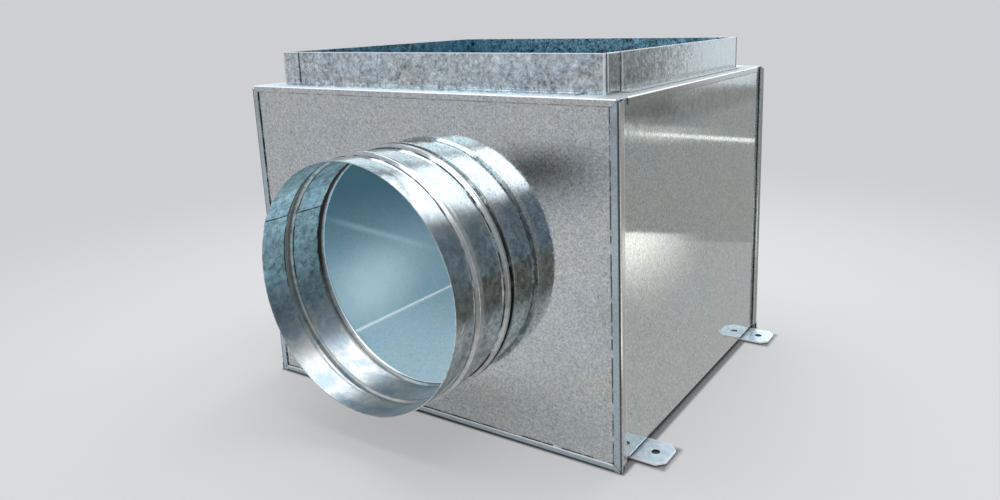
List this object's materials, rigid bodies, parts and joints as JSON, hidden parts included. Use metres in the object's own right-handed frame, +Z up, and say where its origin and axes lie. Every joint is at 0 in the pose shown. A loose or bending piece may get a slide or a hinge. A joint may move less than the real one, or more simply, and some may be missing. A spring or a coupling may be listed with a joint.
{
  "type": "duct plenum box",
  "caption": "Rectangular sheet-metal duct plenum box with a beaded round spigot on the front, an open rectangular collar on top and flat fixing lugs under the bottom.",
  "frame": {"origin": "on the surface that the box stands on, under the middle of its whole outline, spigot included", "axes": "+Z up through the collar opening, -Y out of the front spigot, +X to the right seen from the front"},
  "size_m": [0.4064, 0.3676, 0.297],
  "materials": {
    "galvanised_panel": "hot-dip galvanised sheet, fine spangle, satin",
    "galvanised_collar": "hot-dip galvanised sheet, coarse spangle, satin",
    "galvanised_spigot": "hot-dip galvanised sheet, smooth and bright",
    "galvanised_lug": "zinc-plated plate, smooth satin"
  },
  "bodies": {
    "root": {"casing_wrap": "galvanised_panel", "front_panel": "galvanised_panel", "back_panel": "galvanised_panel", "top_panel": "galvanised_panel", "collar_front": "galvanised_collar", "collar_right": "galvanised_collar", "collar_back": "galvanised_collar", "collar_left": "galvanised_collar", "spigot": "galvanised_spigot", "lug_front_right": "galvanised_lug", "lug_back_right": "galvanised_lug", "lug_front_left": "galvanised_lug", "lug_back_left": "galvanised_lug"}
  },
  "joints": []
}
